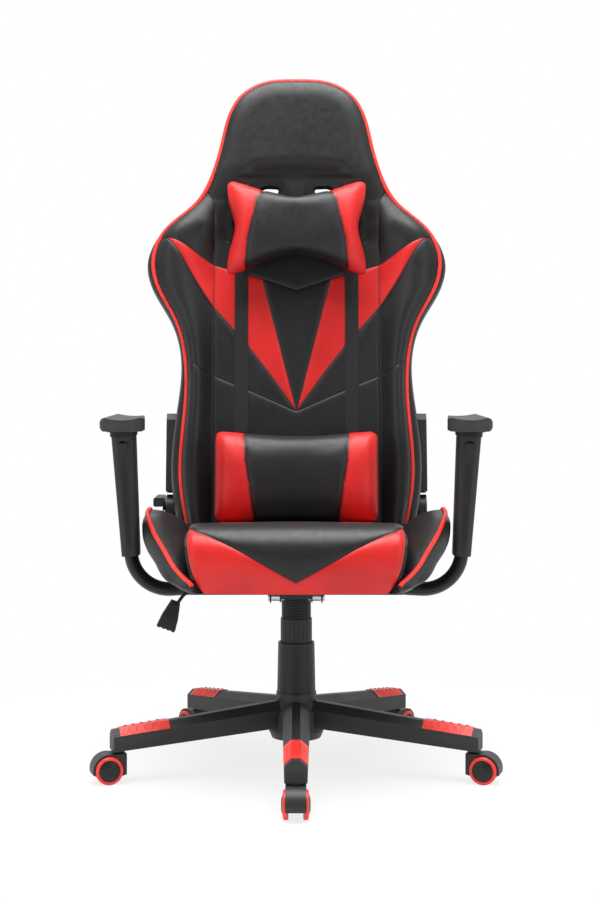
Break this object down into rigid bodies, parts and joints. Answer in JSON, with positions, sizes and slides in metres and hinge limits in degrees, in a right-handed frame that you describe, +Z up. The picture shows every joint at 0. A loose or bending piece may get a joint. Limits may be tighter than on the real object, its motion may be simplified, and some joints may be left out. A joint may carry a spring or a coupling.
{
  "type": "racing-style swivel chair",
  "caption": "High-back bucket office chair with padded armrests, reclining winged backrest, pillows, gas lift column and a castered star base.",
  "frame": {"origin": "on the floor, on the axis of the gas column", "axes": "+Z up; the sitter faces -Y; +X is the sitter's left"},
  "size_m": [0.7478, 0.7774, 1.3385],
  "materials": {
    "base_plastic": "fine-grained black moulded nylon",
    "black_steel": "black powder coat",
    "bronze_bush": "sintered bush",
    "cover_plastic": "grained black plastic",
    "leather_black": "black coated leather over foam",
    "pad_urethane": "self-skinned polyurethane",
    "red_plastic": "satin red moulded plastic",
    "webbing": "woven elastic webbing",
    "wheel_plastic": "black nylon wheel with a red tread",
    "zinc_steel": "zinc-plated steel"
  },
  "bodies": {
    "base": {"star_base": "base_plastic", "base_grip_caps": "red_plastic", "gas_stand_tube": "black_steel", "column_guide_bush": "cover_plastic", "thrust_bearing": "bronze_bush", "lower_column_cover": "cover_plastic"},
    "middle_cover": {"middle_column_cover": "cover_plastic"},
    "piston": {"piston_rod": "zinc_steel"},
    "lift": {"gas_inner_cylinder": "black_steel", "upper_column_cover": "cover_plastic", "tilt_housing": "black_steel", "tilt_pivot_bolts": "zinc_steel", "tilt_spring": "zinc_steel"},
    "valve": {"gas_valve_pin": "zinc_steel"},
    "lever_rocker": {"valve_rocker": "cover_plastic"},
    "lever": {"lever_rod": "black_steel", "lever_paddle": "cover_plastic"},
    "seat": {"mechanism_plate": "black_steel", "seat_bolts": "zinc_steel", "seat_frame": "black_steel", "seat_cushion": "leather_black", "seat_bolsters": "leather_black", "arm_tubes": "black_steel", "arm_sleeves": "cover_plastic", "recliner_lower_plates": "black_steel", "recliner_pivots": "zinc_steel", "recliner_lower_covers": "cover_plastic"},
    "recline_handle": {"recline_lever": "cover_plastic"},
    "left_armrest": {"left_arm_post": "cover_plastic", "left_arm_pad": "pad_urethane"},
    "right_armrest": {"right_arm_post": "cover_plastic", "right_arm_pad": "pad_urethane"},
    "left_button": {"left_arm_button": "cover_plastic"},
    "right_button": {"right_arm_button": "cover_plastic"},
    "backrest": {"recliner_back_plates": "black_steel", "recliner_back_covers": "cover_plastic", "back_bolts": "zinc_steel", "back_cushion": "leather_black", "back_shell": "leather_black", "back_frame": "black_steel", "harness_bezels": "cover_plastic", "back_straps": "webbing"},
    "head_rest": {"head_pillow": "leather_black", "head_pillow_band": "webbing"},
    "lumbar": {"lumbar_cushion": "leather_black"},
    "caster_1": {"caster_1_hood": "cover_plastic", "caster_1_pins": "zinc_steel"},
    "wheels_1": {"caster_1_wheels": "wheel_plastic"},
    "caster_2": {"caster_2_hood": "cover_plastic", "caster_2_pins": "zinc_steel"},
    "wheels_2": {"caster_2_wheels": "wheel_plastic"},
    "caster_3": {"caster_3_hood": "cover_plastic", "caster_3_pins": "zinc_steel"},
    "wheels_3": {"caster_3_wheels": "wheel_plastic"},
    "caster_4": {"caster_4_hood": "cover_plastic", "caster_4_pins": "zinc_steel"},
    "wheels_4": {"caster_4_wheels": "wheel_plastic"},
    "caster_5": {"caster_5_hood": "cover_plastic", "caster_5_pins": "zinc_steel"},
    "wheels_5": {"caster_5_wheels": "wheel_plastic"}
  },
  "joints": [
    {"name": "seat_swivel", "type": "hinge", "parent": "base", "child": "piston", "pos_m": [0, 0, 0.05], "axis": [0, 0, 1], "continuous": true},
    {"name": "seat_lift", "type": "slide", "parent": "piston", "child": "lift", "axis": [0, 0, 1], "range_m": [-0.06, 0.02]},
    {"name": "cover_telescope", "type": "slide", "parent": "base", "child": "middle_cover", "axis": [0, 0, 1], "range_m": [-0.031, 0.011]},
    {"name": "seat_tilt", "type": "hinge", "parent": "lift", "child": "seat", "pos_m": [0, -0.05, 0.328], "axis": [-1, 0, 0], "range_deg": [0, 10], "stiffness_Nm_per_rad": 200, "springref_deg": -20.05, "deforming": ["tilt_spring"]},
    {"name": "lever_lift", "type": "hinge", "parent": "lift", "child": "lever_rocker", "pos_m": [-0.034, 0, 0.341], "axis": [0, 1, 0], "range_deg": [0, 3.5], "stiffness_Nm_per_rad": 3, "springref_deg": -8.59},
    {"name": "valve_press", "type": "slide", "parent": "lift", "child": "valve", "axis": [0, 0, -1], "range_m": [0, 0.003]},
    {"name": "lever_pull", "type": "slide", "parent": "lever_rocker", "child": "lever", "axis": [-1, 0, 0], "range_m": [0, 0.015]},
    {"name": "back_recline", "type": "hinge", "parent": "seat", "child": "backrest", "pos_m": [0, 0.25, 0.465], "axis": [-1, 0, 0], "range_deg": [0, 65]},
    {"name": "recline_release", "type": "hinge", "parent": "seat", "child": "recline_handle", "pos_m": [-0.264, 0.25, 0.465], "axis": [1, 0, 0], "range_deg": [0, 25], "stiffness_Nm_per_rad": 1.5, "springref_deg": -8.59},
    {"name": "left_armrest_height", "type": "slide", "parent": "seat", "child": "left_armrest", "axis": [0.061, 0, 0.9981], "range_m": [0, 0.07]},
    {"name": "right_armrest_height", "type": "slide", "parent": "seat", "child": "right_armrest", "axis": [-0.061, 0, 0.9981], "range_m": [0, 0.07]},
    {"name": "left_height_button", "type": "slide", "parent": "seat", "child": "left_button", "axis": [0, 1, 0], "range_m": [0, 0.0025], "stiffness_N_per_m": 400, "springref_m": -0.001},
    {"name": "right_height_button", "type": "slide", "parent": "seat", "child": "right_button", "axis": [0, 1, 0], "range_m": [0, 0.0025], "stiffness_N_per_m": 400, "springref_m": -0.001},
    {"name": "head_pillow_slide", "type": "slide", "parent": "backrest", "child": "head_rest", "axis": [0, 0.1564, 0.9877], "range_m": [-0.01, 0.02]},
    {"name": "lumbar_slide", "type": "slide", "parent": "backrest", "child": "lumbar", "axis": [0, 0.1564, 0.9877], "range_m": [0, 0.08]},
    {"name": "caster_1_swivel", "type": "hinge", "parent": "base", "child": "caster_1", "pos_m": [0, -0.338, 0.06], "axis": [0, 0, 1], "continuous": true},
    {"name": "caster_1_roll", "type": "hinge", "parent": "caster_1", "child": "wheels_1", "pos_m": [0, -0.358, 0.025], "axis": [1, 0, 0], "continuous": true},
    {"name": "caster_2_swivel", "type": "hinge", "parent": "base", "child": "caster_2", "pos_m": [0.32146, -0.10445, 0.06], "axis": [0, 0, 1], "continuous": true},
    {"name": "caster_2_roll", "type": "hinge", "parent": "caster_2", "child": "wheels_2", "pos_m": [0.34048, -0.11063, 0.025], "axis": [0.309, 0.9511, 0], "continuous": true},
    {"name": "caster_3_swivel", "type": "hinge", "parent": "base", "child": "caster_3", "pos_m": [0.19867, 0.27345, 0.06], "axis": [0, 0, 1], "continuous": true},
    {"name": "caster_3_roll", "type": "hinge", "parent": "caster_3", "child": "wheels_3", "pos_m": [0.21043, 0.28963, 0.025], "axis": [-0.809, 0.5878, 0], "continuous": true},
    {"name": "caster_4_swivel", "type": "hinge", "parent": "base", "child": "caster_4", "pos_m": [-0.19867, 0.27345, 0.06], "axis": [0, 0, 1], "continuous": true},
    {"name": "caster_4_roll", "type": "hinge", "parent": "caster_4", "child": "wheels_4", "pos_m": [-0.21043, 0.28963, 0.025], "axis": [-0.809, -0.5878, 0], "continuous": true},
    {"name": "caster_5_swivel", "type": "hinge", "parent": "base", "child": "caster_5", "pos_m": [-0.32146, -0.10445, 0.06], "axis": [0, 0, 1], "continuous": true},
    {"name": "caster_5_roll", "type": "hinge", "parent": "caster_5", "child": "wheels_5", "pos_m": [-0.34048, -0.11063, 0.025], "axis": [0.309, -0.9511, 0], "continuous": true}
  ],
  "couplings": [
    {"joint": "cover_telescope", "follows": "seat_lift", "ratio": 0.5},
    {"joint": "valve_press", "follows": "lever_lift", "m_per_rad": 0.034}
  ]
}
